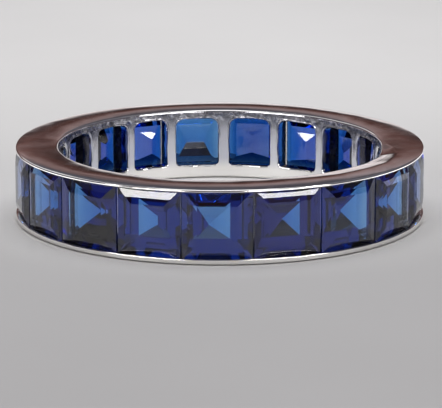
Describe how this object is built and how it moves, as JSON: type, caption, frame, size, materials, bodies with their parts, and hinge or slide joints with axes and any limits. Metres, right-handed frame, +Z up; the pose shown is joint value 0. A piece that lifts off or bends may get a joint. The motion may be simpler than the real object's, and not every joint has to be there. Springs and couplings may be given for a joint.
{
  "type": "eternity ring",
  "caption": "Channel-set eternity ring: a white gold band of two plain rails and a pierced inner wall, holding square step-cut blue sapphires side by side all the way round.",
  "frame": {"origin": "centre of the finger hole, on the plane the ring rests on", "axes": "+Z up along the finger's axis; -Y points towards the picture's camera, so the front stone of the picture is at -Y and the picture's right is +X"},
  "size_m": [0.0212, 0.0212, 0.0038],
  "materials": {
    "white_gold": "polished, with fine wear and tool marks inside the band",
    "sapphire": "polished facets, deep blue"
  },
  "bodies": {
    "root": {"band": "white_gold", "stone_01": "sapphire", "stone_02": "sapphire", "stone_03": "sapphire", "stone_04": "sapphire", "stone_05": "sapphire", "stone_06": "sapphire", "stone_07": "sapphire", "stone_08": "sapphire", "stone_09": "sapphire", "stone_10": "sapphire", "stone_11": "sapphire", "stone_12": "sapphire", "stone_13": "sapphire", "stone_14": "sapphire", "stone_15": "sapphire", "stone_16": "sapphire", "stone_17": "sapphire", "stone_18": "sapphire", "stone_19": "sapphire"}
  },
  "joints": []
}
